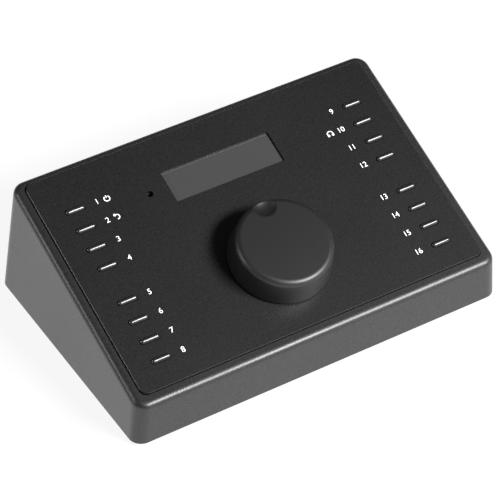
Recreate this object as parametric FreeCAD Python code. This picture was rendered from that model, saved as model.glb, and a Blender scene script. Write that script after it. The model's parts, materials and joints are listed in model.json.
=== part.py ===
import FreeCAD, Part
import math
import os

# Studio monitor controller: a wedge-shaped desktop case with an inset control panel, a large turning
# and pressing knob, sixteen bar buttons, a display window and a recessed row of rear sockets.
# Millimetres. +X is the user's right, +Y the rear, +Z up. The origin is on the table, under the
# middle of the case's footprint. Pieces of the control panel are drawn flat in the panel's own frame
# (x across, y up the slope, z out of the panel, zero on its face) and then laid on the slope.

# Case
TILT = 18.5              # slope of the control panel, degrees
SIDE_DRAFT = 5.0         # the side walls lean out towards the base, degrees
REAR_DRAFT = 6.0         # the rear wall leans out towards the base, degrees
CASE_HALF_WIDTH = 89.0   # half width of the sloping top, before its edges are rounded
TOP_LENGTH = 119.0       # length of the sloping top, before its edges are rounded
PANEL_CENTRE_H = 41.2    # panel centre above the case's lower edge
WALL = 2.5               # case wall
CORNER_R = 6.0           # upright corners of the case
TOP_EDGE_R = 3.2         # rounded rim of the case
RIM_DROP = 1.0           # the rim lies this far below the panel's face
LEDGE = 2.2              # thickness of the ledge under the panel
LEDGE_WIDTH = 3.6        # width of that ledge

# Control panel
PANEL_W = 169.0
PANEL_L = 109.7
PANEL_T = 2.0
PANEL_R = 3.5
PANEL_GAP = 0.3          # groove between panel and rim

# Buttons
BUTTON_U = 69.6          # distance of the button columns from the centre line
BUTTON_PITCH = 10.0
BUTTON_GROUP_GAP = 18.0  # from the fourth to the fifth button of a column
BUTTON_TOP_V = 35.3      # first button's place on the panel
BUTTON_LEN = 9.0
BUTTON_WIDE = 2.4
BUTTON_RISE = 1.2
BUTTON_CLEAR = 0.3
BUTTON_TRAVEL = 0.6
BUTTON_FLANGE_T = 0.8
BUTTON_FLANGE_LIP = 0.5
BUTTON_STEM_R = 1.4
STEM_LENGTH = 2.1
BUTTONS_PER_COLUMN = 8
BUTTON_SEAT_GAP = 0.05

# Tactile switches under the buttons
SWITCH_SIDE = 6.0
SWITCH_H = 3.4
SWITCH_BORE_CLEAR = 0.35

# Panel board
BOARD_T = 1.6
PANEL_BOARD_W = 152.0
PANEL_BOARD_L = 98.0
PANEL_BOARD_DEPTH = 7.0  # top of the panel board below the panel's face
SPACER_R = 2.75
SPACER_U = 50.0
SPACER_V = 44.0

# Encoder and knob
KNOB_V = -20.7
KNOB_BASE_R = 23.0
KNOB_TOP_R = 21.6
KNOB_TOP_H = 15.0        # knob's top above the panel
KNOB_GAP = 0.9           # running gap under the knob's skirt
KNOB_EDGE_R = 3.0
KNOB_WALL = 3.0
KNOB_HUB_R = 6.5
KNOB_HUB_GAP = 3.2       # underside of the hub above the panel
KNOB_CROWN = 4.5         # thickness of the knob's top
INSERT_R = 4.5
INSERT_TOP = 9.5
KNOB_TRAVEL = 0.5
SCOOP_R = 8.0            # ball that forms the fingertip scoop
SCOOP_DEPTH = 2.3
SCOOP_OUT = 18.8         # scoop's centre from the knob's axis
SCOOP_ANGLE = 90.0       # scoop's bearing, from +x towards +y, degrees
SHAFT_R = 3.0
SHAFT_FLAT = 2.4         # distance of the shaft's flat from its axis
SHAFT_CLEAR = 0.05
SHAFT_LOW = 6.2          # shaft's lower end below the panel's face
BUSHING_R = 4.5
BUSHING_RISE = 2.7
BUSHING_CLEAR = 0.15
ENCODER_SIDE = 12.5
ENCODER_TOP = 2.6        # top of the encoder's body below the panel's face
ROTOR_R = 4.6
ROTOR_T = 1.2
ROTOR_LOW = 5.8
ROTOR_GAP = 0.2
CHAMBER_TOP = 4.3
WASHER_R = 7.0
WASHER_T = 0.5
NUT_AF = 11.0
NUT_T = 1.7

# Display
WINDOW_U = -0.1
WINDOW_V = 29.4
WINDOW_W = 53.8
WINDOW_L = 15.8
WINDOW_SUNK = 1.0        # lens face below the panel's face
WINDOW_CLEAR = 0.1
LENS_LIP = 2.0
LENS_LIP_T = 0.6
GASKET_T = 0.5
SCREEN_W = 50.0
SCREEN_L = 14.5
SCREEN_T = 1.5
DISPLAY_BOARD_T = 0.8

# Microphone port
PORT_U = -36.2
PORT_V = 29.7
PORT_R = 1.5
BOOT_R = 4.0
CAPSULE_R = 3.0
CAPSULE_T = 2.2

# Base, main board and feet
FOOT_RISE = 2.0          # case's lower edge above the table
PLATE_INSET = 0.5        # base plate's underside above the case's lower edge
PLATE_T = 2.0
PLATE_GAP = 0.3
FOOT_R = 7.0
FOOT_X = 72.0
FOOT_Y = 42.0
BOSS_R = 4.0
BOSS_X = 83.5
BOSS_IN = 6.5            # boss axis from the front or rear edge of the base
SCREW_R = 1.5
SCREW_HEAD_R = 2.9
SCREW_HEAD_T = 1.6
SCREW_LEN = 8.0
STANDOFF_H = 6.0
STANDOFF_R = 3.0
MAIN_W = 150.0
MAIN_FRONT = -30.0       # front edge of the main board
MAIN_HOLE_IN = 5.0

# Rear recess with its plate and sockets
RECESS_W = 146.0
RECESS_LOW = 13.2        # lower wall of the recess above the table
RECESS_H = 23.0
RECESS_DEPTH = 9.5       # plate below the rear wall, at the recess's upper edge
RECESS_WALL = 2.0
RECESS_R = 2.0
PLATE_LIP = 3.0
REAR_PLATE_T = 1.2
SOCKET_Z = 24.5          # height of the round sockets' axes
SOCKET_FIT = 0.15        # gap round a socket's nose in the plate
JACK_X = (-56.0, -36.0, 56.0)
JACK_BORE_R = 3.2
JACK_NOSE_R = 4.5
JACK_NOSE_LEN = 4.0
JACK_DEPTH = 22.0
JACK_WIDE = 15.0
JACK_ABOVE = 7.5
JACK_NUT_AF = 12.0
JACK_NUT_T = 2.0
JACK_BORE_LEN = 24.0
COAX_X = -14.0
COAX_R = 4.15
COAX_LEN = 8.5
COAX_NECK_R = 3.8        # groove at the barrel's root, where it passes the plate
COAX_NECK = 0.5          # groove's length outside the plate
COAX_PIN_R = 1.7
COAX_BACK = 13.0
COAX_SIDE = 10.0
USB_X = 4.0
USB_W = 9.0
USB_H = 3.3
USB_WALL = 0.35
USB_DEPTH = 9.0
USB_TONGUE_W = 6.6
USB_TONGUE_T = 0.7
NET_X = 21.0
NET_W = 16.0
NET_H = 13.5
NET_DEPTH = 21.0
NET_MOUTH_W = 11.8
NET_MOUTH_H = 7.0
NET_MOUTH_DEPTH = 13.0
NET_WIRE_R = 0.25
NET_WIRE_PITCH = 1.02
DC_X = 38.0
DC_W = 9.0
DC_H = 11.0
DC_DEPTH = 14.0
DC_MOUTH_R = 3.2
DC_MOUTH_DEPTH = 9.0
DC_PIN_R = 1.0

# Ribbon between the boards
HEADER_W = 24.0
HEADER_D = 5.6
HEADER_H = 6.0
RIBBON_W = 20.0
RIBBON_T = 0.8
RIBBON_BEND_R = 12.0
RIBBON_RUN = 1.5
RIBBON_V = 20.0

# Values worked out from the sizes above
SLOPE = math.radians(TILT)
SIN = math.sin(SLOPE)
COS = math.cos(SLOPE)
TAN = math.tan(SLOPE)
SIDE_LEAN = math.tan(math.radians(SIDE_DRAFT))
REAR_LEAN = math.tan(math.radians(REAR_DRAFT))
PANEL_Z = FOOT_RISE + PANEL_CENTRE_H
REAR_EDGE_Z = PANEL_Z + TOP_LENGTH / 2 * SIN
PANEL_Y = -REAR_LEAN * (REAR_EDGE_Z - FOOT_RISE) / 2
FRONT_Y = PANEL_Y - TOP_LENGTH / 2 * COS
REAR_EDGE_Y = PANEL_Y + TOP_LENGTH / 2 * COS
REAR_BASE_Y = REAR_EDGE_Y + REAR_LEAN * (REAR_EDGE_Z - FOOT_RISE)
BASE_TOP = FOOT_RISE + PLATE_INSET + PLATE_T
MAIN_Z = BASE_TOP + STANDOFF_H
MAIN_TOP = MAIN_Z + BOARD_T
RECESS_TOP = RECESS_LOW + RECESS_H
PLATE_FACE_Y = REAR_EDGE_Y + REAR_LEAN * (REAR_EDGE_Z - RECESS_TOP) - RECESS_DEPTH
PLATE_BACK_Y = PLATE_FACE_Y - REAR_PLATE_T
MAIN_BACK = PLATE_BACK_Y - 0.5
BOSS_FRONT_Y = FRONT_Y + BOSS_IN
BOSS_REAR_Y = REAR_BASE_Y - BOSS_IN - 1.5
TALL = 200.0             # longer than any piece, for cutting tools


def vec(x, y, z):
    return FreeCAD.Vector(x, y, z)


def block(x0, x1, y0, y1, z0, z1):
    return Part.makeBox(x1 - x0, y1 - y0, z1 - z0, vec(x0, y0, z0))


def cylinder(r, x, y, z0, z1):
    return Part.makeCylinder(r, z1 - z0, vec(x, y, z0))


def rear_cylinder(r, x, z, y0, y1):
    """Round bar along +Y from y0 to y1."""
    return Part.makeCylinder(r, y1 - y0, vec(x, y0, z), vec(0, 1, 0))


def rounded_block(w, length, r, z0, z1, x=0.0, y=0.0):
    """Upright block with rounded upright edges, centred on x, y."""
    body = block(x - w / 2, x + w / 2, y - length / 2, y + length / 2, z0, z1)
    upright = [e for e in body.Edges if abs(e.tangentAt(e.FirstParameter).z) > 0.9]
    return body.makeFillet(r, upright)


def pill(length, wide, z0, z1):
    """Upright bar with half-round ends, lying along x."""
    half = wide / 2
    reach = length / 2 - half
    body = block(-reach, reach, -half, half, z0, z1)
    body = body.fuse(cylinder(half, -reach, 0, z0, z1))
    return body.fuse(cylinder(half, reach, 0, z0, z1)).removeSplitter()


def hexagon(across_flats, z0, z1):
    """Upright hexagonal bar on the axis."""
    r = across_flats / math.sqrt(3)
    corners = [vec(r * math.cos(math.radians(60 * i)), r * math.sin(math.radians(60 * i)), z0) for i in range(7)]
    return Part.Face(Part.makePolygon(corners)).extrude(vec(0, 0, z1 - z0))


def on_panel(shape, u=0.0, v=0.0):
    """Lays a shape drawn in the panel's frame on the slope."""
    placed = shape.copy()
    placed.translate(vec(u, v, 0))
    placed.rotate(vec(0, 0, 0), vec(1, 0, 0), TILT)
    placed.translate(vec(0, PANEL_Y, PANEL_Z))
    return placed


def top_height(y, drop):
    """Height of the sloping plane that lies drop below the panel's face."""
    return PANEL_Z + (y - PANEL_Y) * TAN - drop / COS


def wedge(inset, drop, low):
    """Case-shaped wedge: walls moved in by inset, top moved down by drop, floor at height low."""
    half = CASE_HALF_WIDTH - inset
    front = FRONT_Y + inset
    base = top_height(0.0, drop)
    rear_top = (REAR_EDGE_Y - inset + REAR_LEAN * (REAR_EDGE_Z - base)) / (1 + REAR_LEAN * TAN)
    rear_low = REAR_EDGE_Y - inset + REAR_LEAN * (REAR_EDGE_Z - low)

    def corner(side, y, z):
        return vec(side * (half + SIDE_LEAN * (top_height(y, 0.0) - z)), y, z)

    low_front = [corner(s, front, low) for s in (-1, 1)]
    low_rear = [corner(s, rear_low, low) for s in (-1, 1)]
    top_front = [corner(s, front, top_height(front, drop)) for s in (-1, 1)]
    top_rear = [corner(s, rear_top, top_height(rear_top, drop)) for s in (-1, 1)]
    outlines = [
        (low_front[0], low_rear[0], low_rear[1], low_front[1]),
        (top_front[0], top_front[1], top_rear[1], top_rear[0]),
        (low_front[0], low_front[1], top_front[1], top_front[0]),
        (low_rear[0], top_rear[0], top_rear[1], low_rear[1]),
        (low_front[0], top_front[0], top_rear[0], low_rear[0]),
        (low_front[1], low_rear[1], top_rear[1], top_front[1]),
    ]
    faces = [Part.Face(Part.makePolygon(list(o) + [o[0]])) for o in outlines]
    solid = Part.makeSolid(Part.makeShell(faces))
    if solid.Volume < 0:
        solid.reverse()
    radius = CORNER_R - inset
    upright = [e for e in solid.Edges if abs(e.tangentAt(e.FirstParameter).z) > 0.9]
    return solid.makeFillet(radius, upright)


def wedge_with_rounded_rim(drop, low):
    body = wedge(0.0, drop, low)
    top = max(body.Faces, key=lambda f: f.CenterOfMass.z if f.normalAt(0, 0).z > 0.5 else -1)
    return body.makeFillet(TOP_EDGE_R, top.Edges)


def boss_places():
    return [(sx * BOSS_X, y) for sx in (-1, 1) for y in (BOSS_FRONT_Y, BOSS_REAR_Y)]


def rear_mouth(extra, y0, y1):
    """Rounded bar along Y with the recess's outline grown by extra."""
    w = RECESS_W + 2 * extra
    h = RECESS_H + 2 * extra
    bar = rounded_block(w, h, RECESS_R + extra, -y1, -y0)
    bar.rotate(vec(0, 0, 0), vec(1, 0, 0), 90)
    bar.translate(vec(0, 0, RECESS_LOW + RECESS_H / 2))
    return bar


def housing():
    outer = wedge_with_rounded_rim(RIM_DROP, FOOT_RISE)
    cavity = wedge(WALL, PANEL_T + LEDGE, FOOT_RISE - 1.0)
    body = outer.cut(cavity)
    pocket = rounded_block(PANEL_W + 2 * PANEL_GAP, PANEL_L + 2 * PANEL_GAP, PANEL_R, -PANEL_T, 5.0)
    inner_w = PANEL_W - 2 * LEDGE_WIDTH
    inner_l = PANEL_L - 2 * LEDGE_WIDTH
    light_well = rounded_block(inner_w, inner_l, PANEL_R, -PANEL_T - LEDGE - 1.0, 0.0)
    body = body.cut(on_panel(pocket)).cut(on_panel(light_well))
    solid_wedge = wedge(WALL / 2, PANEL_T + LEDGE / 2, BASE_TOP)
    for x, y in boss_places():
        post = cylinder(BOSS_R, x, y, BASE_TOP, TALL).common(solid_wedge)
        pilot = cylinder(SCREW_R, x, y, BASE_TOP - 1.0, BASE_TOP - PLATE_T + SCREW_LEN + 0.5)
        body = body.fuse(post).cut(pilot)
    tunnel = rear_mouth(RECESS_WALL, PLATE_FACE_Y, TALL).common(wedge(WALL / 2, 1.0, FOOT_RISE))
    body = body.fuse(tunnel).cut(rear_mouth(0.0, PLATE_FACE_Y - 1.0, TALL))
    return body.removeSplitter()


def control_panel():
    body = rounded_block(PANEL_W, PANEL_L, PANEL_R, -PANEL_T, 0.0)
    top = max(body.Faces, key=lambda f: f.CenterOfMass.z)
    body = body.makeChamfer(0.25, top.Edges)
    for u, v in button_places():
        slot = pill(BUTTON_LEN + 2 * BUTTON_CLEAR, BUTTON_WIDE + 2 * BUTTON_CLEAR, -PANEL_T - 1, 1.0)
        slot.translate(vec(u, v, 0))
        body = body.cut(slot)
    body = body.cut(cylinder(BUSHING_R + BUSHING_CLEAR, 0, KNOB_V, -PANEL_T - 1, 1.0))
    body = body.cut(cylinder(PORT_R, PORT_U, PORT_V, -PANEL_T - 1, 1.0))
    opening = rounded_block(WINDOW_W, WINDOW_L, 0.6, -PANEL_T - 1, 1.0, WINDOW_U, WINDOW_V)
    return on_panel(body.cut(opening))


def button_places():
    """Centres of the buttons: the left column from the top, then the right column."""
    places = []
    for side in (-1, 1):
        for i in range(BUTTONS_PER_COLUMN):
            extra = BUTTON_GROUP_GAP - BUTTON_PITCH if i >= BUTTONS_PER_COLUMN // 2 else 0.0
            places.append((side * BUTTON_U, BUTTON_TOP_V - i * BUTTON_PITCH - extra))
    return places


def button_cap():
    """Bar button with a domed top, a flange under the panel and a stem into its switch."""
    flange_top = -PANEL_T - BUTTON_SEAT_GAP
    flange_low = flange_top - BUTTON_FLANGE_T
    bar = pill(BUTTON_LEN, BUTTON_WIDE, flange_top - 0.1, BUTTON_RISE)
    top = max(bar.Faces, key=lambda f: f.CenterOfMass.z)
    bar = bar.makeFillet(BUTTON_WIDE * 0.36, top.Edges)
    flange = pill(BUTTON_LEN + 2 * BUTTON_FLANGE_LIP + 2 * BUTTON_CLEAR,
                  BUTTON_WIDE + 2 * BUTTON_FLANGE_LIP + 2 * BUTTON_CLEAR, flange_low, flange_top)
    stem = cylinder(BUTTON_STEM_R, 0, 0, flange_low - STEM_LENGTH, flange_low)
    return bar.fuse(flange).fuse(stem).removeSplitter()


def switch_body():
    """Square switch with the well that its button's stem works in."""
    low = -PANEL_BOARD_DEPTH
    body = rounded_block(SWITCH_SIDE, SWITCH_SIDE, 0.5, low, low + SWITCH_H)
    well_floor = -PANEL_T - BUTTON_SEAT_GAP - BUTTON_FLANGE_T - STEM_LENGTH - BUTTON_TRAVEL - 0.3
    return body.cut(cylinder(BUTTON_STEM_R + SWITCH_BORE_CLEAR, 0, 0, well_floor, 0.0))


def switch_bodies():
    return Part.makeCompound([on_panel(switch_body(), u, v) for u, v in button_places()])


def spacer_places():
    return [(sx * SPACER_U, sy * SPACER_V) for sx in (-1, 1) for sy in (-1, 1)]


def panel_spacers():
    """Threaded pillars that hold the board under the panel."""
    pillars = []
    for u, v in spacer_places():
        pillar = cylinder(SPACER_R, u, v, -PANEL_BOARD_DEPTH, -PANEL_T)
        pillar = pillar.cut(cylinder(SCREW_R, u, v, -PANEL_BOARD_DEPTH - 1, -PANEL_T - 1.5))
        pillars.append(on_panel(pillar))
    return Part.makeCompound(pillars)


def panel_board():
    low = -PANEL_BOARD_DEPTH - BOARD_T
    body = rounded_block(PANEL_BOARD_W, PANEL_BOARD_L, 2.0, low, -PANEL_BOARD_DEPTH)
    for u, v in spacer_places():
        body = body.cut(cylinder(SCREW_R + 0.1, u, v, low - 1, 0))
    return on_panel(body)


def panel_board_screws():
    low = -PANEL_BOARD_DEPTH - BOARD_T
    screws = []
    for u, v in spacer_places():
        head = cylinder(SCREW_HEAD_R, u, v, low - SCREW_HEAD_T, low)
        shank = cylinder(SCREW_R, u, v, low, -PANEL_T - 2.0)
        socket = hexagon(2.0, low - SCREW_HEAD_T - 1, low - SCREW_HEAD_T + 0.9)
        socket.translate(vec(u, v, 0))
        screws.append(on_panel(head.fuse(shank).cut(socket)))
    return Part.makeCompound(screws)


def display_window():
    """Clear lens with a lip that is bonded to the panel's underside."""
    lens = rounded_block(WINDOW_W - 2 * WINDOW_CLEAR, WINDOW_L - 2 * WINDOW_CLEAR, 0.5,
                         -PANEL_T, -WINDOW_SUNK, WINDOW_U, WINDOW_V)
    lip = rounded_block(WINDOW_W + 2 * LENS_LIP, WINDOW_L + 2 * LENS_LIP, 1.0,
                        -PANEL_T - LENS_LIP_T, -PANEL_T, WINDOW_U, WINDOW_V)
    return on_panel(lens.fuse(lip).removeSplitter())


def display_gasket():
    top = -PANEL_T - LENS_LIP_T
    outer = rounded_block(SCREEN_W + 5, SCREEN_L + 4, 1.0, top - GASKET_T, top, WINDOW_U, WINDOW_V)
    inner = rounded_block(SCREEN_W - 2, SCREEN_L - 2, 0.5, top - GASKET_T - 1, top + 1, WINDOW_U, WINDOW_V)
    return on_panel(outer.cut(inner))


def display_screen():
    top = -PANEL_T - LENS_LIP_T - GASKET_T
    return on_panel(rounded_block(SCREEN_W, SCREEN_L, 0.4, top - SCREEN_T, top, WINDOW_U, WINDOW_V))


def display_board():
    top = -PANEL_T - LENS_LIP_T - GASKET_T - SCREEN_T
    return on_panel(rounded_block(SCREEN_W + 6, SCREEN_L + 5, 1.0, top - DISPLAY_BOARD_T, top, WINDOW_U, WINDOW_V))


def display_pad():
    """Foam that presses the display up from the panel board."""
    top = -PANEL_T - LENS_LIP_T - GASKET_T - SCREEN_T - DISPLAY_BOARD_T
    return on_panel(rounded_block(SCREEN_W - 6, SCREEN_L - 4, 1.0, -PANEL_BOARD_DEPTH, top, WINDOW_U, WINDOW_V))


def microphone_boot():
    low = -PANEL_BOARD_DEPTH + CAPSULE_T
    body = cylinder(BOOT_R, PORT_U, PORT_V, low, -PANEL_T)
    return on_panel(body.cut(cylinder(PORT_R * 0.8, PORT_U, PORT_V, low - 1, 0)))


def microphone_capsule():
    low = -PANEL_BOARD_DEPTH
    return on_panel(cylinder(CAPSULE_R, PORT_U, PORT_V, low, low + CAPSULE_T))


def encoder_body():
    """Square case with a bore for the shaft and a chamber for the rotor."""
    low = -PANEL_BOARD_DEPTH
    body = rounded_block(ENCODER_SIDE, ENCODER_SIDE, 0.8, low, -ENCODER_TOP)
    body = body.cut(cylinder(ROTOR_R + 0.1, 0, 0, low - 1, -CHAMBER_TOP))
    return on_panel(body.cut(cylinder(SHAFT_R + SHAFT_CLEAR, 0, 0, low, 0)), 0, KNOB_V)


def encoder_bushing():
    body = cylinder(BUSHING_R, 0, 0, -ENCODER_TOP, BUSHING_RISE)
    return on_panel(body.cut(cylinder(SHAFT_R + SHAFT_CLEAR, 0, 0, -ENCODER_TOP - 1, BUSHING_RISE + 1)), 0, KNOB_V)


def encoder_washer():
    body = cylinder(WASHER_R, 0, 0, 0, WASHER_T)
    return on_panel(body.cut(cylinder(BUSHING_R, 0, 0, -1, WASHER_T + 1)), 0, KNOB_V)


def encoder_nut():
    body = hexagon(NUT_AF, WASHER_T, WASHER_T + NUT_T)
    return on_panel(body.cut(cylinder(BUSHING_R, 0, 0, 0, WASHER_T + NUT_T + 1)), 0, KNOB_V)


def flatted(r, flat, z0, z1):
    """Round bar with one flat on its +x side."""
    return cylinder(r, 0, 0, z0, z1).common(block(-r - 1, flat, -r - 1, r + 1, z0 - 1, z1 + 1))


def encoder_rotor():
    low = -ROTOR_LOW
    body = cylinder(ROTOR_R, 0, 0, low, low + ROTOR_T)
    bore = flatted(SHAFT_R + SHAFT_CLEAR, SHAFT_FLAT + SHAFT_CLEAR, low - 1, low + ROTOR_T + 1)
    return on_panel(body.cut(bore), 0, KNOB_V)


def encoder_shaft():
    """Shaft with a flat at its foot for the rotor and at its head for the knob."""
    mid_low = -CHAMBER_TOP + KNOB_TRAVEL
    foot = flatted(SHAFT_R, SHAFT_FLAT, -SHAFT_LOW, mid_low)
    middle = cylinder(SHAFT_R, 0, 0, mid_low, KNOB_HUB_GAP)
    head = flatted(SHAFT_R, SHAFT_FLAT, KNOB_HUB_GAP, INSERT_TOP)
    return on_panel(foot.fuse(middle).fuse(head).removeSplitter(), 0, KNOB_V)


def knob_insert():
    """Brass sleeve moulded into the hub, gripping the shaft."""
    body = cylinder(INSERT_R, 0, 0, KNOB_HUB_GAP, INSERT_TOP)
    bore = flatted(SHAFT_R, SHAFT_FLAT, KNOB_HUB_GAP - 1, INSERT_TOP + 1)
    return on_panel(body.cut(bore), 0, KNOB_V)


def knob():
    """Slightly tapered cap with a rounded edge and a fingertip scoop, hollow round its hub."""
    body = Part.makeCone(KNOB_BASE_R, KNOB_TOP_R, KNOB_TOP_H - KNOB_GAP, vec(0, 0, KNOB_GAP))
    top = max(body.Edges, key=lambda e: e.CenterOfMass.z)
    body = body.makeFillet(KNOB_EDGE_R, [top])
    hollow = cylinder(KNOB_TOP_R - KNOB_WALL, 0, 0, KNOB_GAP - 1, KNOB_TOP_H - KNOB_CROWN)
    hub = cylinder(KNOB_HUB_R, 0, 0, KNOB_HUB_GAP, TALL)
    body = body.cut(hollow.cut(hub))
    body = body.cut(cylinder(INSERT_R, 0, 0, 0, INSERT_TOP))
    bearing = math.radians(SCOOP_ANGLE)
    ball = Part.makeSphere(SCOOP_R)
    ball.translate(vec(SCOOP_OUT * math.cos(bearing), SCOOP_OUT * math.sin(bearing),
                       KNOB_TOP_H - SCOOP_DEPTH + SCOOP_R))
    return on_panel(body.cut(ball), 0, KNOB_V)


def base_plate():
    low = FOOT_RISE + PLATE_INSET
    body = wedge(WALL + PLATE_GAP, 8.0, low).common(block(-TALL, TALL, -TALL, TALL, low, low + PLATE_T))
    for x, y in boss_places():
        body = body.cut(cylinder(SCREW_R + 0.2, x, y, 0, BASE_TOP + 1))
    for x, y in main_holes():
        body = body.cut(cylinder(SCREW_R, x, y, 0, BASE_TOP + 1))
    return body


def case_screws():
    """Flat-topped screws through the base plate into the case's bosses."""
    low = FOOT_RISE + PLATE_INSET
    screws = []
    for x, y in boss_places():
        head = cylinder(SCREW_HEAD_R, x, y, low - SCREW_HEAD_T, low)
        shank = cylinder(SCREW_R, x, y, low, low + SCREW_LEN)
        socket = hexagon(2.0, low - SCREW_HEAD_T - 1, low - SCREW_HEAD_T + 0.9)
        socket.translate(vec(x, y, 0))
        screws.append(head.fuse(shank).cut(socket))
    return Part.makeCompound(screws)


def rubber_feet():
    feet = []
    for sx in (-1, 1):
        for sy in (-1, 1):
            foot = cylinder(FOOT_R, sx * FOOT_X, sy * FOOT_Y, 0, FOOT_RISE + PLATE_INSET)
            low_edge = min(foot.Edges, key=lambda e: e.CenterOfMass.z)
            feet.append(foot.makeFillet(0.8, [low_edge]))
    return Part.makeCompound(feet)


def main_holes():
    reach = MAIN_W / 2 - MAIN_HOLE_IN
    return [(sx * reach, y) for sx in (-1, 1) for y in (MAIN_FRONT + MAIN_HOLE_IN, MAIN_BACK - 12.0)]


def main_standoffs():
    pillars = []
    for x, y in main_holes():
        pillar = cylinder(STANDOFF_R, x, y, BASE_TOP, MAIN_Z)
        pillars.append(pillar.cut(cylinder(SCREW_R, x, y, BASE_TOP - 1, MAIN_Z + 1)))
    return Part.makeCompound(pillars)


def main_board():
    body = block(-MAIN_W / 2, MAIN_W / 2, MAIN_FRONT, MAIN_BACK, MAIN_Z, MAIN_TOP)
    for x, y in main_holes():
        body = body.cut(cylinder(SCREW_R + 0.1, x, y, 0, TALL))
    return body


def main_board_screws():
    screws = []
    for x, y in main_holes():
        head = cylinder(SCREW_HEAD_R, x, y, MAIN_TOP, MAIN_TOP + SCREW_HEAD_T)
        shank = cylinder(SCREW_R, x, y, BASE_TOP + 1.0, MAIN_TOP)
        screws.append(head.fuse(shank))
    return Part.makeCompound(screws)


def rear_plate():
    """Steel plate that closes the recess from inside and carries the sockets."""
    w = RECESS_W + 2 * RECESS_WALL
    body = block(-w / 2, w / 2, PLATE_BACK_Y, PLATE_FACE_Y, MAIN_TOP + 0.2, RECESS_TOP + RECESS_WALL)
    span = (PLATE_BACK_Y - 1, PLATE_FACE_Y + 1)
    for x in JACK_X:
        body = body.cut(rear_cylinder(JACK_NOSE_R + SOCKET_FIT, x, SOCKET_Z, *span))
    body = body.cut(rear_cylinder(COAX_R + SOCKET_FIT, COAX_X, SOCKET_Z, *span))
    body = body.cut(around(USB_X, USB_W, USB_H, SOCKET_FIT, *span))
    body = body.cut(around(NET_X, NET_W, NET_H, SOCKET_FIT, *span))
    return body.cut(around(DC_X, DC_W, DC_H, SOCKET_FIT, *span))


def around(x, w, h, grow, y0, y1):
    """Block of a board-mounted socket's outline, grown by a gap; sockets stand on the main board."""
    return block(x - w / 2 - grow, x + w / 2 + grow, y0, y1, socket_low(h) - grow, socket_low(h) + h + grow)


def socket_low(h):
    """Sockets taller than the recess's sill stand on the board, the flat one is centred on the axes."""
    return SOCKET_Z - h / 2


def jack(x):
    """Quarter-inch jack: block on the board and a nose through the plate, with one bore."""
    body = block(x - JACK_WIDE / 2, x + JACK_WIDE / 2, PLATE_BACK_Y - JACK_DEPTH, PLATE_BACK_Y,
                 MAIN_TOP, SOCKET_Z + JACK_ABOVE)
    nose = rear_cylinder(JACK_NOSE_R, x, SOCKET_Z, PLATE_BACK_Y - 1, PLATE_FACE_Y + JACK_NOSE_LEN)
    tip = PLATE_FACE_Y + JACK_NOSE_LEN
    bore = rear_cylinder(JACK_BORE_R, x, SOCKET_Z, tip - JACK_BORE_LEN, tip + 1)
    return body.fuse(nose).cut(bore).removeSplitter()


def jack_nuts():
    nuts = []
    for x in JACK_X:
        nut = hexagon(JACK_NUT_AF, 0, JACK_NUT_T).cut(cylinder(JACK_NOSE_R, 0, 0, -1, JACK_NUT_T + 1))
        nut.rotate(vec(0, 0, 0), vec(1, 0, 0), -90)
        nut.translate(vec(x, PLATE_FACE_Y, SOCKET_Z))
        nuts.append(nut)
    return Part.makeCompound(nuts)


def coax_socket():
    """Phono socket: a block inside and a barrel that the plug's collar grips."""
    half = COAX_SIDE / 2
    body = block(COAX_X - half, COAX_X + half, PLATE_BACK_Y - COAX_BACK, PLATE_BACK_Y, MAIN_TOP, SOCKET_Z + half)
    root = PLATE_FACE_Y + COAX_NECK
    neck = rear_cylinder(COAX_NECK_R, COAX_X, SOCKET_Z, PLATE_BACK_Y - 1, root)
    barrel = rear_cylinder(COAX_R, COAX_X, SOCKET_Z, root, PLATE_FACE_Y + COAX_LEN)
    hole = rear_cylinder(COAX_PIN_R, COAX_X, SOCKET_Z, PLATE_FACE_Y - 4, PLATE_FACE_Y + COAX_LEN + 1)
    return body.fuse(neck).fuse(barrel).cut(hole).removeSplitter()


def usb_socket():
    """Flat metal shell, closed at its inner end, with a foot down to the board."""
    outer = around(USB_X, USB_W, USB_H, 0.0, PLATE_FACE_Y - USB_DEPTH, PLATE_FACE_Y)
    mouth = around(USB_X, USB_W, USB_H, -USB_WALL, PLATE_FACE_Y - USB_DEPTH + 1.5, PLATE_FACE_Y + 1)
    foot = block(USB_X - USB_W / 2, USB_X + USB_W / 2, PLATE_FACE_Y - USB_DEPTH, PLATE_BACK_Y - 0.5,
                 MAIN_TOP, socket_low(USB_H))
    return outer.cut(mouth).fuse(foot).removeSplitter()


def usb_tongue():
    inner = PLATE_FACE_Y - USB_DEPTH + 1.5
    half = USB_TONGUE_T / 2
    return block(USB_X - USB_TONGUE_W / 2, USB_X + USB_TONGUE_W / 2, inner, PLATE_FACE_Y - 0.8,
                 SOCKET_Z - half, SOCKET_Z + half)


def network_socket():
    """Block with the mouth for a network plug and a notch for its latch."""
    body = around(NET_X, NET_W, NET_H, 0.0, PLATE_FACE_Y - NET_DEPTH, PLATE_FACE_Y)
    stand = block(NET_X - NET_W / 2, NET_X + NET_W / 2, PLATE_FACE_Y - NET_DEPTH, PLATE_BACK_Y - 0.5,
                  MAIN_TOP, socket_low(NET_H))
    mouth = around(NET_X, NET_MOUTH_W, NET_MOUTH_H, 0.0, PLATE_FACE_Y - NET_MOUTH_DEPTH, PLATE_FACE_Y + 1)
    latch = block(NET_X - 3.0, NET_X + 3.0, PLATE_FACE_Y - NET_MOUTH_DEPTH + 5, PLATE_FACE_Y + 1,
                  SOCKET_Z - NET_MOUTH_H / 2 - 1.8, SOCKET_Z)
    return body.fuse(stand).cut(mouth).cut(latch).removeSplitter()


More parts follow.
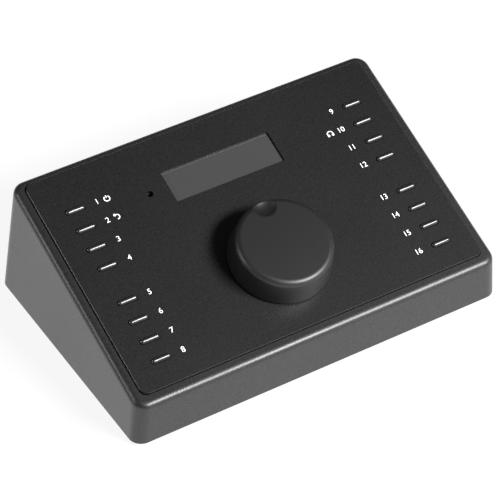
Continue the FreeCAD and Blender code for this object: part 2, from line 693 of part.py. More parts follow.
def network_contacts():
    """Eight wires that slope down from the roof at the inner end of the mouth."""
    wires = []
    inner = PLATE_FACE_Y - NET_MOUTH_DEPTH
    roof = SOCKET_Z + NET_MOUTH_H / 2 - NET_WIRE_R
    for i in range(8):
        x = NET_X + (i - 3.5) * NET_WIRE_PITCH
        wires.append(rear_cylinder(NET_WIRE_R, x, roof, inner, PLATE_FACE_Y - 2.5))
    return Part.makeCompound(wires)


def power_inlet():
    """Barrel inlet for an outside supply."""
    body = around(DC_X, DC_W, DC_H, 0.0, PLATE_FACE_Y - DC_DEPTH, PLATE_FACE_Y)
    stand = block(DC_X - DC_W / 2, DC_X + DC_W / 2, PLATE_FACE_Y - DC_DEPTH, PLATE_BACK_Y - 0.5,
                  MAIN_TOP, socket_low(DC_H))
    mouth = rear_cylinder(DC_MOUTH_R, DC_X, SOCKET_Z, PLATE_FACE_Y - DC_MOUTH_DEPTH, PLATE_FACE_Y + 1)
    return body.fuse(stand).cut(mouth).removeSplitter()


def power_pin():
    return rear_cylinder(DC_PIN_R, DC_X, SOCKET_Z, PLATE_FACE_Y - DC_MOUTH_DEPTH, PLATE_FACE_Y - 0.8)


def ribbon_path():
    """Points of the ribbon's middle line in the YZ plane, from the upper header to the lower one."""
    start_n = -PANEL_BOARD_DEPTH - BOARD_T - HEADER_H
    start = vec(0, PANEL_Y + RIBBON_V * COS - start_n * SIN, PANEL_Z + RIBBON_V * SIN + start_n * COS)
    bend = start + vec(0, SIN, -COS) * RIBBON_RUN
    centre = bend + vec(0, -COS, -SIN) * RIBBON_BEND_R
    half = SLOPE / 2
    middle = centre + vec(0, math.cos(half), math.sin(half)) * RIBBON_BEND_R
    foot = centre + vec(0, RIBBON_BEND_R, 0)
    end = vec(0, foot.y, MAIN_TOP + HEADER_H)
    return start, bend, middle, foot, end


def ribbon_cable():
    """Flat cable: straight, one bend, straight, as a band of even thickness."""
    start, bend, middle, foot, end = ribbon_path()
    path = Part.Wire([
        Part.LineSegment(start, bend).toShape(),
        Part.Arc(bend, middle, foot).toShape(),
        Part.LineSegment(foot, end).toShape(),
    ])
    across = vec(0, COS, SIN) * (RIBBON_T / 2)
    wide = vec(RIBBON_W / 2, 0, 0)
    corners = [start - across - wide, start - across + wide, start + across + wide, start + across - wide]
    outline = Part.makePolygon(corners + [corners[0]])
    return path.makePipeShell([outline], True, False)


def ribbon_header_upper():
    low = -PANEL_BOARD_DEPTH - BOARD_T - HEADER_H
    shape = block(-HEADER_W / 2, HEADER_W / 2, -HEADER_D / 2, HEADER_D / 2, low, low + HEADER_H)
    return on_panel(shape, 0, RIBBON_V)


def ribbon_header_lower():
    end = ribbon_path()[-1]
    return block(-HEADER_W / 2, HEADER_W / 2, end.y - HEADER_D / 2, end.y + HEADER_D / 2, MAIN_TOP, end.z)


def all_pieces():
    pieces = {
        "housing": housing(),
        "control_panel": control_panel(),
        "base_plate": base_plate(),
        "rear_plate": rear_plate(),
        "rubber_feet": rubber_feet(),
        "case_screws": case_screws(),
        "panel_board": panel_board(),
        "panel_spacers": panel_spacers(),
        "panel_board_screws": panel_board_screws(),
        "switch_bodies": switch_bodies(),
        "display_window": display_window(),
        "display_gasket": display_gasket(),
        "display_screen": display_screen(),
        "display_board": display_board(),
        "display_pad": display_pad(),
        "microphone_boot": microphone_boot(),
        "microphone_capsule": microphone_capsule(),
        "encoder_body": encoder_body(),
        "encoder_bushing": encoder_bushing(),
        "encoder_washer": encoder_washer(),
        "encoder_nut": encoder_nut(),
        "encoder_rotor": encoder_rotor(),
        "encoder_shaft": encoder_shaft(),
        "knob_insert": knob_insert(),
        "knob": knob(),
        "main_board": main_board(),
        "main_standoffs": main_standoffs(),
        "main_board_screws": main_board_screws(),
        "input_jack_left": jack(JACK_X[0]),
        "input_jack_right": jack(JACK_X[1]),
        "headphone_jack": jack(JACK_X[2]),
        "jack_nuts": jack_nuts(),
        "digital_socket": coax_socket(),
        "usb_socket": usb_socket(),
        "usb_tongue": usb_tongue(),
        "network_socket": network_socket(),
        "network_contacts": network_contacts(),
        "power_inlet": power_inlet(),
        "power_pin": power_pin(),
        "ribbon_cable": ribbon_cable(),
        "ribbon_header_upper": ribbon_header_upper(),
        "ribbon_header_lower": ribbon_header_lower(),
    }
    cap = button_cap()
    for number, (u, v) in enumerate(button_places(), start=1):
        pieces["button_%02d" % number] = on_panel(cap, u, v)
    return pieces


def main():
    os.makedirs("parts", exist_ok=True)
    for name, shape in all_pieces().items():
        if not shape.isValid() or shape.Volume <= 0:
            raise RuntimeError("bad shape: " + name)
        shape.exportStep("parts/%s.step" % name)
    print("front y %.2f, rear y %.2f, panel y %.3f z %.3f" % (FRONT_Y, REAR_BASE_Y, PANEL_Y, PANEL_Z))


main()
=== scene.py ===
import json
import math

import bpy
import numpy as np
from mathutils import Matrix, Vector


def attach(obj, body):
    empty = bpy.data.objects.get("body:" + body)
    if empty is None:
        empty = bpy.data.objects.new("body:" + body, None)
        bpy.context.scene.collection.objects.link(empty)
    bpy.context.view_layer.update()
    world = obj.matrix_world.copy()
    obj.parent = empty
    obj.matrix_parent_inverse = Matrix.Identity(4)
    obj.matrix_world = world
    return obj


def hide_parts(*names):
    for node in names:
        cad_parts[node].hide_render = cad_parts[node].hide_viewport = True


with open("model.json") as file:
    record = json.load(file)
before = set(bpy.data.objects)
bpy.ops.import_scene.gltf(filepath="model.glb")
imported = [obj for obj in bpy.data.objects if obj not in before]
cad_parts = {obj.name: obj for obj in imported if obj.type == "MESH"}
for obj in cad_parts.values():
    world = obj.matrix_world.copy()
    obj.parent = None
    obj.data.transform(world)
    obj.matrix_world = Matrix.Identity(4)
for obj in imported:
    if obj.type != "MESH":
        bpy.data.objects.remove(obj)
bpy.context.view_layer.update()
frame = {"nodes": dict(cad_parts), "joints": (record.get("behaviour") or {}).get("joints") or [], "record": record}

bl_info = {
    "name": "Studio monitor controller",
    "version": (1, 0, 0),
    "blender": (4, 5, 0),
    "location": "View3D > Sidebar > Controller",
    "description": "Gives a loudspeaker controller its knob, buttons, legends and finishes",
    "category": "Object",
}

MM = 0.001
KNOB_V = -20.7           # knob's axis along the slope from the panel's centre, negative is down, mm
BUTTON_COUNT = 16
SIGNS = {1: "power", 2: "return", 10: "headphones"}     # printed beside these buttons

# Stage
WORLD_LIGHT = 0.05       # strength of the grey light from all round
FLOOR_REACH = 4.0        # metres from the middle to each edge
FLOOR_WHITE = 0.9        # share of plain white in the floor as the camera sees it
FLOOR_MIRRORED = 1.50    # brightness of the floor in the case's gloss
LAMP_AIM = (0, 0, 0.03)  # metres, about the middle of the object
# Each lamp's name, place in metres, width, height and power in watts
LAMPS = (
    ("rim_strip", (0.56, -0.99, 0.93), 0.6, 0.28, 52.0),
    ("left_strip", (-1.25, 0.38, 0.74), 0.5, 0.2, 6.0),
)
CAMERA_AZIMUTH = 31.03     # to the left of straight in front, degrees
CAMERA_ELEVATION = 43.35   # degrees
CAMERA_ROLL = 0.51         # degrees
CAMERA_DISTANCE = 1.0587   # metres
CAMERA_TARGET = (-0.00667, -0.00960, 0.03371)
CAMERA_LENS = 177.03       # millimetres, on a sensor as wide as the next value
CAMERA_SENSOR = 36.0


def joint(name):
    """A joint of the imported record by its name."""
    return next(j for j in frame["joints"] if j["name"] == name)


def panel_matrix():
    """Panel's own frame (x across, y up the slope, z out) in the row frame; sizes in metres."""
    out = Vector(joint("knob_turn")["axis"]).normalized()
    across = Vector((1, 0, 0))
    up_slope = out.cross(across)
    centre = Vector(joint("knob_turn")["pos_m"]) - up_slope * KNOB_V * MM
    turned = Matrix((across, up_slope, out)).transposed().to_4x4()
    return Matrix.Translation(centre) @ turned


PANEL = panel_matrix()


def linear(hex_code):
    """sRGB hex colour as linear red, green and blue."""
    parts = [int(hex_code[i:i + 2], 16) / 255 for i in (0, 2, 4)]
    return tuple(p / 12.92 if p <= 0.04045 else ((p + 0.055) / 1.055) ** 2.4 for p in parts)


def colour_property(name, hex_code, words):
    """A colour that can be set by hand, given as an sRGB hex code."""
    return bpy.props.FloatVectorProperty(
        name=name, description=words, subtype="COLOR", size=3, min=0, max=1, default=linear(hex_code))


def length_property(name, millimetres, words):
    """A length that can be set by hand, given in millimetres and kept in metres."""
    return bpy.props.FloatProperty(
        name=name, description=words, subtype="DISTANCE", unit="LENGTH", min=0, default=millimetres * MM)


class ControllerFinishes(bpy.types.PropertyGroup):
    """Colours and grain of the finishes that the photograph shows"""
    case: colour_property("Case", "1F1F1F", "Textured paint of the case")
    panel: colour_property("Panel", "151515", "Satin paint of the control panel")
    knob: colour_property("Knob", "181818", "Soft coating of the knob")
    legend: colour_property("Legends", "FFFFFF", "Screen-printed ink of the numbers")
    window: colour_property("Window", "3A3A3A", "Coated face of the display window")
    case_grain: length_property("Case grain", 0.8, "Width of one grain of the case's textured paint")
    panel_grain: length_property("Panel grain", 0.8, "Width of one grain of the panel's paint")


class ControllerKnob(bpy.types.PropertyGroup):
    """Sizes of the knob; heights are above the panel"""
    base_radius: length_property("Base radius", 23.0, "Radius of the knob at its skirt")
    top_radius: length_property("Top radius", 21.6, "Radius of the knob where its top edge begins")
    height: length_property("Height", 15.0, "Top of the knob above the panel")
    gap: length_property("Gap", 0.9, "Running gap under the skirt")
    edge: length_property("Edge", 3.0, "Radius of the rounded top edge")
    scoop_radius: length_property("Scoop radius", 8.0, "Radius of the ball that forms the fingertip scoop")
    scoop_depth: length_property("Scoop depth", 2.3, "Depth of the scoop below the knob's top")
    scoop_out: length_property("Scoop place", 18.8, "Distance of the scoop's middle from the knob's axis")
    scoop_blend: length_property("Scoop blend", 0.35, "Softness of the scoop's edge")
    crown_sag: length_property("Crown sag", 0.25, "Fall of the top from its middle to its rounded edge")
    lip: length_property("Lip", 0.35, "Radius of the skirt's lower lip")
    wall: length_property("Wall", 3.0, "Wall of the skirt")
    wall_chamfer: length_property("Wall chamfer", 0.2, "Chamfer inside the skirt's lower edge")
    hollow: length_property("Hollow", 9.0, "Depth of the hollow underside")
    hub_top: length_property("Hub top radius", 6.6, "Radius of the hub at its root")
    hub_low: length_property("Hub low radius", 6.5, "Radius of the hub at its lower end")
    hub_gap: length_property("Hub gap", 3.2, "Lower end of the hub above the panel")
    bore: length_property("Bore", 3.05, "Radius of the shaft's bore")
    bore_top: length_property("Bore top", 9.6, "End of the shaft's bore above the panel")


class ControllerButtons(bpy.types.PropertyGroup):
    """Sizes of one bar button"""
    length: length_property("Length", 8.9, "Length of a bar button")
    width: length_property("Width", 2.3, "Width of a bar button")
    rise: length_property("Rise", 1.2, "Crest of a button above the panel")
    sunk: length_property("Sunk", 1.9, "Depth of a button's side below the panel's face")


class ControllerLegends(bpy.types.PropertyGroup):
    """Sizes and places of the printing"""
    digit_height: length_property("Digit height", 2.6, "Height of the numbers beside the buttons")
    sign_height: length_property("Sign height", 3.2, "Height of the printed signs")
    sign_gap: length_property("Sign gap", 5.6, "Distance of a sign's middle from its number's edge")
    edge_u: length_property("Edge of the columns", 60.0, "Legends' outer edge from the centre line")
    ink: length_property("Ink", 0.03, "Thickness of the printed ink")


def finishes():
    """The scene's own finish values."""
    return bpy.context.scene.controller_finishes


# Meshes

def add_mesh(name, points, faces, body, material, smooth=True):
    """Puts points (n x 3, in metres, row frame) and faces into a new object that rides on a body."""
    mesh = bpy.data.meshes.new(name)
    mesh.from_pydata(np.asarray(points, float).tolist(), [], [list(map(int, f)) for f in faces])
    mesh.validate()
    mesh.update()
    if smooth:
        mesh.polygons.foreach_set("use_smooth", np.ones(len(mesh.polygons), bool))
    piece = bpy.data.objects.new(name, mesh)
    bpy.context.scene.collection.objects.link(piece)
    mesh.materials.append(material)
    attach(piece, body)
    return piece


def placed(points, matrix):
    """Points in a local frame, taken to the row frame."""
    points = np.asarray(points, float)
    turned = np.array(matrix.to_3x3())
    return points @ turned.T + np.array(matrix.translation)


def ring_faces(rings, around):
    """Quads between closed rings of points, ring after ring."""
    i, j = np.meshgrid(np.arange(rings - 1), np.arange(around), indexing="ij")
    after = (j + 1) % around
    quads = np.stack([i * around + j, i * around + after, (i + 1) * around + after, (i + 1) * around + j], -1)
    return quads.reshape(-1, 4)


def soft_min(a, b, blend):
    """The smaller of two heights, rounded over where they are within blend of each other."""
    h = np.clip(0.5 + 0.5 * (b - a) / blend, 0, 1)
    return b * (1 - h) + a * h - blend * h * (1 - h)


def arc(centre, radius, start, stop, count):
    """Points of a circle from one angle to another, in degrees."""
    angles = np.radians(np.linspace(start, stop, count))
    return np.stack([centre[0] + radius * np.cos(angles), centre[1] + radius * np.sin(angles)], -1)


EDGE_SET_IN = 0.95       # the rounded edge's centre lies this share of its radius inside the top radius
AXIS_GAP = 0.02          # smallest ring round the axis, mm
CROWN_PLAIN_R = 11.0     # the crown has wide rings up to here and close ones where the scoop is, mm
KNOB_AROUND = 360        # points round the knob
SCOOP_CROWDING = 0.30    # how far those points crowd towards the scoop's bearing
FAR_ABOVE = 1.0          # height that stands for no scoop, metres


def knob_surface(k):
    """Revolved profile: crown, rounded edge, leaning side, lip, hollow underside; around the axis.

    The profile's radius and height (s) turned through the bearing (t) give the surface. Inside the
    scoop's ball the height is the softened minimum of the profile's and the ball's lower half.
    """
    side = math.atan2(k.base_radius - k.top_radius, k.height - k.gap)
    rim_r = k.top_radius - k.edge * EDGE_SET_IN
    crown_r = np.concatenate([np.linspace(AXIS_GAP * MM, CROWN_PLAIN_R * MM, 12),
                              np.linspace((CROWN_PLAIN_R + 0.3) * MM, rim_r, 40)])
    crown_h = k.height - k.crown_sag * (crown_r / rim_r) ** 2
    edge = arc((rim_r, k.height - k.crown_sag - k.edge), k.edge, 88, math.degrees(side), 30)
    lip = arc((k.base_radius - k.lip, k.gap + k.lip), k.lip, 0, -90, 6)
    inner_r = k.top_radius - k.wall
    roof = k.gap + k.hollow
    under = np.array([[inner_r + k.wall_chamfer, k.gap], [inner_r, k.gap + k.wall_chamfer], [inner_r, roof],
                      [k.hub_top, roof], [k.hub_low, k.hub_gap], [k.bore, k.hub_gap],
                      [k.bore, k.bore_top], [AXIS_GAP * MM, k.bore_top]])
    profile = np.concatenate([np.stack([crown_r, crown_h], -1), edge, lip, under])
    around = KNOB_AROUND
    even = np.linspace(0, 2 * np.pi, around, endpoint=False)
    bearing = even - SCOOP_CROWDING * np.sin(even) + np.pi / 2
    r = profile[:, :1]
    h = np.repeat(profile[:, 1:], around, axis=1)
    x = r * np.cos(bearing)
    y = r * np.sin(bearing)
    ball_h = k.height - k.scoop_depth + k.scoop_radius
    flat = k.scoop_radius ** 2 - x ** 2 - (y - k.scoop_out) ** 2
    inside = flat > 0
    ball_low = np.where(inside, ball_h - np.sqrt(np.maximum(flat, 0)), FAR_ABOVE)
    shown = np.zeros_like(h, bool)
    shown[: len(crown_r) + len(edge)] = True
    h = np.where(shown, soft_min(h, ball_low, k.scoop_blend), h)
    points = np.stack([x, y, h], -1).reshape(-1, 3)
    rings = len(profile)
    faces = [tuple(q[::-1]) for q in ring_faces(rings, around)]
    faces.append(tuple(range(around)))
    faces.append(tuple(range((rings - 1) * around, rings * around))[::-1])
    return points, faces


BAR_END_POINTS = 17      # points round each end of a bar
BAR_RINGS = 11           # steps from a bar's outline to its middle line
BAR_MIDDLE = 0.02        # innermost ring as a share of half the width
BAR_EDGE_SHARE = 0.42    # height of the bar's edge as a share of its crest's
BAR_ROUNDNESS = 1.7      # power of the fall from crest to edge


def bar_surface(length, wide, rise, low):
    """Bar with half-round ends: a stadium outline (s) shrunk towards its middle line (t).

    Over the middle line's distance d the height is edge + (rise - edge) * (1 - (d / half) ** roundness),
    and the side drops straight down to low.
    """
    half = wide / 2
    reach = length / 2 - half
    turn = np.radians(np.linspace(-90, 90, BAR_END_POINTS))
    right = np.stack([np.cos(turn), np.sin(turn)], -1)
    left = -right
    ends = (BAR_END_POINTS, 1)
    centres = np.concatenate([np.tile([reach, 0], ends), np.tile([-reach, 0], ends)])
    spokes = np.concatenate([right, left])
    inward = np.cos(np.linspace(0, np.pi / 2, BAR_RINGS))[1:-1]
    across = np.concatenate([[1.0, 1.0], inward, [BAR_MIDDLE]])
    edge_h = rise * BAR_EDGE_SHARE
    heights = edge_h + (rise - edge_h) * (1 - across ** BAR_ROUNDNESS)
    heights[0] = low
    rings = [np.column_stack([centres + spokes * half * a, np.full(len(spokes), z)])
             for a, z in zip(across, heights)]
    points = np.concatenate(rings)
    count = len(spokes)
    faces = [tuple(q) for q in ring_faces(len(rings), count)]
    faces.append(tuple(range(count))[::-1])
    faces.append(tuple(range((len(rings) - 1) * count, len(rings) * count)))
    return points, faces


# Materials

def add(tree, kind, inputs=None, **settings):
    """Adds a node, sets its properties, and gives its inputs values or links."""
    node = tree.nodes.new(kind)
    for key, value in settings.items():
        setattr(node, key, value)
    for key, value in (inputs or {}).items():
        if isinstance(value, bpy.types.NodeSocket):
            tree.links.new(value, node.inputs[key])
        else:
            node.inputs[key].default_value = value
    return node


def new_material(name, **shader_values):
    """A material with one Principled shader, its plain values set on the shader's own sockets."""
    material = bpy.data.materials.new(name)
    material.use_nodes = True
    tree = material.node_tree
    shader = tree.nodes["Principled BSDF"]
    for key, value in shader_values.items():
        shader.inputs[key.replace("_", " ")].default_value = value
    return material, tree, shader


def rgba(colour):
    """A colour with full opacity, as colour sockets take it."""
    return (*colour, 1.0)


GLOSS_PATCHES = 14.0     # patches of shinier and duller skin in a metre
NOISE_LOW = 0.3          # a noise texture's values lie mostly between these two
NOISE_HIGH = 0.7


def grain(tree, shader, width, height, colour, shade, roughness, rough_swing):
    """Paint or moulded grain: noise of a real width lifts the surface and varies its shade and gloss."""
    place = add(tree, "ShaderNodeTexCoord")
    noise = add(tree, "ShaderNodeTexNoise",
                {"Vector": place.outputs["Object"], "Scale": 1 / width, "Detail": 3.0, "Roughness": 0.6})
    broad = add(tree, "ShaderNodeTexNoise",
                {"Vector": place.outputs["Object"], "Scale": GLOSS_PATCHES, "Detail": 2.0})
    bump = add(tree, "ShaderNodeBump",
               {"Height": noise.outputs["Fac"], "Distance": height, "Strength": 1.0})
    dark = tuple(c * (1 - shade) for c in colour)
    light = tuple(min(1.0, c * (1 + shade)) for c in colour)
    ramp = add(tree, "ShaderNodeValToRGB", {"Fac": noise.outputs["Fac"]})
    ramp.color_ramp.elements[0].position = NOISE_LOW
    ramp.color_ramp.elements[0].color = rgba(dark)
    ramp.color_ramp.elements[1].position = NOISE_HIGH
    ramp.color_ramp.elements[1].color = rgba(light)
    gloss = add(tree, "ShaderNodeMapRange",
                {"Value": broad.outputs["Fac"], "From Min": NOISE_LOW, "From Max": NOISE_HIGH,
                 "To Min": roughness - rough_swing, "To Max": roughness + rough_swing})
    tree.links.new(ramp.outputs["Color"], shader.inputs["Base Color"])
    tree.links.new(gloss.outputs["Result"], shader.inputs["Roughness"])
    tree.links.new(bump.outputs["Normal"], shader.inputs["Normal"])


def grained(name, colour, width_mm, height_mm, shade, roughness, rough_swing, **shader_values):
    """A grained material: grain width and height, then the swing of its shade, its gloss and that swing."""
    material, tree, shader = new_material(name, **shader_values)
    grain(tree, shader, width_mm * MM, height_mm * MM, colour, shade, roughness, rough_swing)
    return material


def make_materials():
    """Every finish of the controller by its material slot."""
    f = finishes()
    made = {}
    case_grain = f.case_grain / MM
    panel_grain = f.panel_grain / MM
    # Textured powder paint on a cast case: matt with an orange-peel grain that shows along the rim.
    made["case_paint"] = grained("textured_powder_paint", tuple(f.case), case_grain, 0.07, 0.4, 0.40, 0.03)
    # Satin stoving paint on sheet: darker, with a faint grain.
    made["panel_paint"] = grained("satin_stoving_paint", tuple(f.panel), panel_grain, 0.05, 0.5, 0.40, 0.02)
    # Soft-touch lacquer over moulded ABS: deep matt, wide soft highlights.
    made["knob_soft"] = grained("soft_touch_lacquer", tuple(f.knob), 0.25, 0.006, 0.1, 0.44, 0.02)
    # Polished ABS bars: a narrow bright line along the crown.
    made["button_plastic"] = grained("polished_abs", linear("262626"), 0.3, 0.0004, 0.05, 0.27, 0.02)
    # Hard-coated acrylic window: one even grey, faintly glossy.
    made["tinted_window"] = grained("coated_acrylic", tuple(f.window), 0.3, 0.001, 0.03, 0.3, 0.02)
    # Screen-printed ink: flat white.
    made["legend_ink"] = grained("screen_print_ink", tuple(f.legend), 0.12, 0.004, 0.04, 0.55, 0.03)
    # Zinc-plated sheet: cool grey with cloudy spangle.
    made["zinc_steel"] = grained("zinc_plated_sheet", linear("A9ADB0"), 2.5, 0.01, 0.12, 0.38, 0.08,
                                 Metallic=1.0)
    # Matt black stove enamel on thin steel.
    made["black_steel"] = grained("black_stove_enamel", linear("1F1F1F"), 0.3, 0.01, 0.15, 0.55, 0.03)
    # Natural rubber with a moulded matt skin.
    made["rubber"] = grained("moulded_rubber", linear("1B1B1B"), 0.6, 0.02, 0.2, 0.75, 0.05)
    # Nickel-plated screws.
    made["screw_steel"] = grained("plated_steel", linear("8E8F90"), 0.4, 0.004, 0.08, 0.3, 0.05, Metallic=1.0)
    # Fibreglass board under green solder mask.
    made["board"] = grained("solder_mask", linear("0E4A26"), 0.5, 0.006, 0.15, 0.35, 0.05)
    # Turned brass.
    made["brass"] = grained("turned_brass", linear("C9A25A"), 0.3, 0.004, 0.08, 0.28, 0.05, Metallic=1.0)
    # Bright nickel on brass.
    made["nickel_brass"] = grained("bright_nickel", linear("C4C2BC"), 0.4, 0.003, 0.05, 0.2, 0.04,
                                   Metallic=1.0)
    # Glass-filled nylon mouldings.
    made["black_plastic"] = grained("glass_filled_nylon", linear("1E1E1F"), 0.35, 0.01, 0.2, 0.5, 0.05)
    # Dark display glass.
    made["display_glass"] = grained("display_glass", linear("141518"), 0.5, 0.0005, 0.05, 0.12, 0.02)
    # Black closed-cell foam.
    made["foam"] = grained("closed_cell_foam", linear("1A1A1A"), 0.5, 0.03, 0.3, 0.9, 0.05)
    # Pressed aluminium can of the microphone.
    made["capsule_metal"] = grained("pressed_aluminium", linear("B0B2B4"), 0.4, 0.003, 0.06, 0.35, 0.05,
                                    Metallic=1.0)
    # Dark nylon of the encoder's case.
    made["encoder_case"] = grained("encoder_nylon", linear("202226"), 0.35, 0.01, 0.2, 0.5, 0.05)
    # Tinned shell of the network socket.
    made["tin_steel"] = grained("tinned_steel", linear("B8B8B4"), 0.5, 0.003, 0.06, 0.3, 0.05, Metallic=1.0)
    # Gold flash on contact wires.
    made["gold_contact"] = grained("gold_flash", linear("D9B45A"), 0.3, 0.002, 0.05, 0.22, 0.04, Metallic=1.0)
    # Flexible vinyl of the ribbon cable.
    made["cable_grey"] = grained("flexible_vinyl", linear("8A8A8C"), 0.5, 0.01, 0.08, 0.55, 0.05)
    return made


MATERIALS = {}


# Operators

class CONTROLLER_OT_finishes(bpy.types.Operator):
    """Makes the materials and gives each carried CAD node the one of its slot"""
    bl_idname = "controller.finishes"
    bl_label = "Finishes"

    def execute(self, context):
        MATERIALS.update(make_materials())
        slots = {s["node"]: s["material_slot"] for s in frame["record"]["subparts"]}
        for name, node in frame["nodes"].items():
            node.data.materials.clear()
            node.data.materials.append(MATERIALS[slots[name]])
        return {"FINISHED"}


class CONTROLLER_OT_knob(bpy.types.Operator):
    """Makes the knob's cap with its rounded edge and fingertip scoop"""
    bl_idname = "controller.knob"
    bl_label = "Knob"

    def execute(self, context):
        points, faces = knob_surface(context.scene.controller_knob)
        points[:, 1] += KNOB_V * MM
        finish = MATERIALS["knob_soft"]
        cap = add_mesh("knob_cap", placed(points, PANEL), faces, "knob_body", finish)
        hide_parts("knob")
        return {"FINISHED"}


DIGIT_SHARE = 0.7        # height of a digit as a share of the font's size
DIGIT_STEP = 0.7         # room that one more digit takes, as a share of its height
SIGN_STROKE = 0.28       # width of a sign's strokes where the sign is two units high


def printed_text(name, words, height, u, v, side):
    """Flat text made a mesh, an ink's thickness above the panel; side says which end lies at u."""
    curve = bpy.data.curves.new(name, "FONT")
    curve.body = words
    curve.size = height / DIGIT_SHARE
    curve.align_x = side
    curve.align_y = "CENTER"
    curve.resolution_u = 6
    holder = bpy.data.objects.new(name, curve)
    bpy.context.scene.collection.objects.link(holder)
    bpy.context.view_layer.update()
    mesh = bpy.data.meshes.new_from_object(holder)
    points = np.zeros(len(mesh.vertices) * 3)
    mesh.vertices.foreach_get("co", points)
    points = points.reshape(-1, 3)
    faces = [tuple(p.vertices) for p in mesh.polygons]
    bpy.data.objects.remove(holder)
    points = points + np.array([u, v, bpy.context.scene.controller_legends.ink])
    return add_mesh(name, placed(points, PANEL), faces, "case", MATERIALS["legend_ink"], False)


def button_centre(number):
    """Middle of a button's outline in the panel's frame, from the points of its CAD mesh."""
    node = frame["nodes"]["button_%02d" % number]
    to_panel = PANEL.inverted() @ node.matrix_world
    points = np.array([to_panel @ vertex.co for vertex in node.data.vertices])
    return Vector((points.min(axis=0) + points.max(axis=0)) / 2)


class CONTROLLER_OT_buttons(bpy.types.Operator):
    """Makes the sixteen bar buttons with their rounded crests"""
    bl_idname = "controller.buttons"
    bl_label = "Buttons"

    def execute(self, context):
        g = context.scene.controller_buttons
        for number in range(1, BUTTON_COUNT + 1):
            body = "button_%02d" % number
            place = button_centre(number)
            points, faces = bar_surface(g.length, g.width, g.rise, -g.sunk)
            points[:, 0] += place.x
            points[:, 1] += place.y
            bar = add_mesh("bar_%02d" % number, placed(points, PANEL), faces, body,
                           MATERIALS["button_plastic"])
            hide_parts(body)
        return {"FINISHED"}


def stroke(path, width):
    """Flat band of a width along a path of points: the path moved half a width to either side."""
    path = np.asarray(path, float)
    along = np.gradient(path, axis=0)
    along = along / np.linalg.norm(along, axis=1, keepdims=True)
    across = np.stack([-along[:, 1], along[:, 0]], -1) * width / 2
    points = np.concatenate([path + across, path - across])
    n = len(path)
    faces = [(i, n + i, n + i + 1, i + 1) for i in range(n - 1)]
    return points, faces


def pictogram_paths(kind):
    """Middle lines of a sign two units high, centred on its place."""
    if kind == "power":
        return [arc((0, -0.1), 0.8, 125, 415, 30), [(0, 0.15), (0, 0.9)]]
    if kind == "return":
        return [arc((-0.1, 0), 0.7, -100, 90, 24), [(-0.1, 0.7), (-0.75, 0.7)],
                [(-0.4, 1.05), (-0.8, 0.7), (-0.4, 0.35)]]
    band = arc((0, 0), 0.85, 0, 180, 24)
    return [band, [(0.8, 0.0), (0.8, -0.75)], [(-0.8, 0.0), (-0.8, -0.75)],
            [(0.5, -0.1), (0.5, -0.75)], [(-0.5, -0.1), (-0.5, -0.75)]]


def printed_sign(name, kind, height, u, v, ink):
    """One printed sign made of strokes; it rides on the case."""
    points = []
    faces = []
    for path in pictogram_paths(kind):
        p, f = stroke(path, SIGN_STROKE)
        first = sum(len(q) for q in points)
        faces += [tuple(i + first for i in face) for face in f]
        points.append(p)
    flat = np.concatenate(points) * height / 2 + np.array([u, v])
    solid = np.column_stack([flat, np.full(len(flat), ink)])
    return add_mesh(name, placed(solid, PANEL), faces, "case", MATERIALS["legend_ink"], False)


class CONTROLLER_OT_legends(bpy.types.Operator):
    """Prints plain numbers beside the buttons, and the power, return and headphone signs"""
    bl_idname = "controller.legends"
    bl_label = "Legends"

    def execute(self, context):
        g = context.scene.controller_legends
        for number in range(1, BUTTON_COUNT + 1):
            place = button_centre(number)
            left = place.x < 0
            edge = -g.edge_u if left else g.edge_u
            printed_text("number_%02d" % number, str(number), g.digit_height, edge, place.y,
                         "LEFT" if left else "RIGHT")
            if number in SIGNS:
                kind = SIGNS[number]
                reach = g.sign_gap + (len(str(number)) - 1) * DIGIT_STEP * g.digit_height
                middle = edge + reach if left else edge - reach
                printed_sign("sign_" + kind, kind, g.sign_height, middle, place.y, g.ink)
        return {"FINISHED"}


class CONTROLLER_OT_stage(bpy.types.Operator):
    """Makes the pale floor, the soft lamps and the camera at the photograph's angle"""
    bl_idname = "controller.stage"
    bl_label = "Stage"

    def execute(self, context):
        make_floor()
        make_world()
        make_lamps()
        make_camera()
        context.scene.view_settings.view_transform = "Standard"
        return {"FINISHED"}


def make_floor():
    """Pale matt floor: nearly white with a faint shadow to the camera, brighter in the case's gloss."""
    mesh = bpy.data.meshes.new("floor")
    corners = [(x * FLOOR_REACH, y * FLOOR_REACH, 0) for x, y in ((-1, -1), (1, -1), (1, 1), (-1, 1))]
    mesh.from_pydata(corners, [], [(0, 1, 2, 3)])
    floor = bpy.data.objects.new("floor", mesh)
    bpy.context.scene.collection.objects.link(floor)
    material, tree, shader = new_material("pale_floor", Roughness=0.9)
    shader.inputs["Base Color"].default_value = rgba(linear("F2F2F2"))
    shader.inputs["Specular IOR Level"].default_value = 0.1
    path = add(tree, "ShaderNodeLightPath")
    seen = add(tree, "ShaderNodeMath",
               {0: path.outputs["Is Camera Ray"], 1: FLOOR_WHITE}, operation="MULTIPLY")
    mirrored = add(tree, "ShaderNodeMath",
                   {0: path.outputs["Is Glossy Ray"], 1: seen.outputs[0]}, operation="MAXIMUM")
    strength = add(tree, "ShaderNodeMapRange",
                   {"Value": path.outputs["Is Glossy Ray"], "To Min": 1.0, "To Max": FLOOR_MIRRORED})
    white = add(tree, "ShaderNodeEmission",
                {"Color": rgba((1, 1, 1)), "Strength": strength.outputs["Result"]})
    mix = add(tree, "ShaderNodeMixShader",
              {0: mirrored.outputs[0], 1: shader.outputs[0], 2: white.outputs[0]})
    tree.links.new(mix.outputs[0], tree.nodes["Material Output"].inputs["Surface"])
    mesh.materials.append(material)


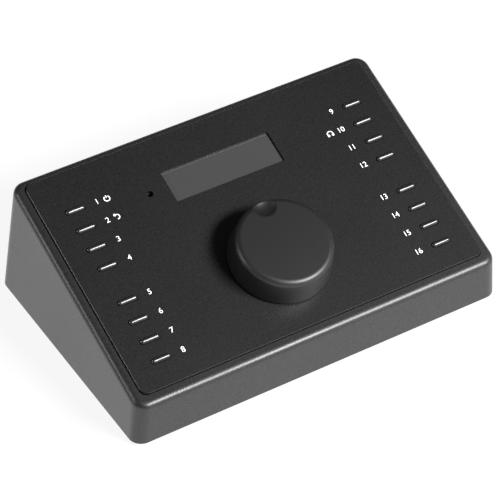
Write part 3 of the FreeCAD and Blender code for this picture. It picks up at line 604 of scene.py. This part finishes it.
def make_world():
    """White to the camera, soft grey as light."""
    world = bpy.data.worlds.new("studio")
    bpy.context.scene.world = world
    world.use_nodes = True
    tree = world.node_tree
    light = tree.nodes["Background"]
    light.inputs["Color"].default_value = rgba((1, 1, 1))
    light.inputs["Strength"].default_value = WORLD_LIGHT
    white = add(tree, "ShaderNodeBackground", {"Color": rgba((1, 1, 1)), "Strength": 1.0})
    path = add(tree, "ShaderNodeLightPath")
    mix = add(tree, "ShaderNodeMixShader",
              {0: path.outputs["Is Camera Ray"], 1: light.outputs[0], 2: white.outputs[0]})
    tree.links.new(mix.outputs[0], tree.nodes["World Output"].inputs["Surface"])


def make_lamps():
    """Rectangular lamps, each turned towards the object."""
    aim = Vector(LAMP_AIM)
    for name, place, wide, high, power in LAMPS:
        data = bpy.data.lights.new(name, "AREA")
        data.shape = "RECTANGLE"
        data.size = wide
        data.size_y = high
        data.energy = power
        lamp = bpy.data.objects.new(name, data)
        lamp.location = place
        lamp.rotation_euler = (aim - Vector(place)).to_track_quat("-Z", "Y").to_euler()
        bpy.context.scene.collection.objects.link(lamp)


def make_camera():
    """Camera on a sphere round the target, turned a little about its own axis."""
    a = math.radians(CAMERA_AZIMUTH)
    e = math.radians(CAMERA_ELEVATION)
    back = Vector((-math.sin(a) * math.cos(e), -math.cos(a) * math.cos(e), math.sin(e)))
    data = bpy.data.cameras.new("camera")
    data.lens = CAMERA_LENS
    data.sensor_width = CAMERA_SENSOR
    camera = bpy.data.objects.new("camera", data)
    camera.location = Vector(CAMERA_TARGET) + back * CAMERA_DISTANCE
    aim = (-back).to_track_quat("-Z", "Y").to_matrix()
    camera.rotation_euler = (aim @ Matrix.Rotation(math.radians(CAMERA_ROLL), 3, "Z")).to_euler()
    bpy.context.scene.collection.objects.link(camera)
    bpy.context.scene.camera = camera


class CONTROLLER_PT_panel(bpy.types.Panel):
    """Buttons in the sidebar, one for each step"""
    bl_idname = "CONTROLLER_PT_panel"
    bl_label = "Studio monitor controller"
    bl_space_type = "VIEW_3D"
    bl_region_type = "UI"
    bl_category = "Controller"

    def draw(self, context):
        for operator in OPERATORS:
            self.layout.operator(operator.bl_idname)


OPERATORS = (
    CONTROLLER_OT_finishes,
    CONTROLLER_OT_knob,
    CONTROLLER_OT_buttons,
    CONTROLLER_OT_legends,
    CONTROLLER_OT_stage,
)
GROUPS = {
    "controller_finishes": ControllerFinishes,
    "controller_knob": ControllerKnob,
    "controller_buttons": ControllerButtons,
    "controller_legends": ControllerLegends,
}


def register():
    """Makes the settings, operators and panel known to Blender."""
    for group in GROUPS.values():
        bpy.utils.register_class(group)
    for name, group in GROUPS.items():
        setattr(bpy.types.Scene, name, bpy.props.PointerProperty(type=group))
    for operator in OPERATORS:
        bpy.utils.register_class(operator)
    bpy.utils.register_class(CONTROLLER_PT_panel)


def unregister():
    """Takes them out again, last first."""
    bpy.utils.unregister_class(CONTROLLER_PT_panel)
    for operator in reversed(OPERATORS):
        bpy.utils.unregister_class(operator)
    for name, group in GROUPS.items():
        delattr(bpy.types.Scene, name)
        bpy.utils.unregister_class(group)


def main():
    """Runs every step."""
    register()
    bpy.ops.controller.finishes()
    bpy.ops.controller.knob()
    bpy.ops.controller.buttons()
    bpy.ops.controller.legends()
    bpy.ops.controller.stage()


if __name__ == "__main__":
    main()
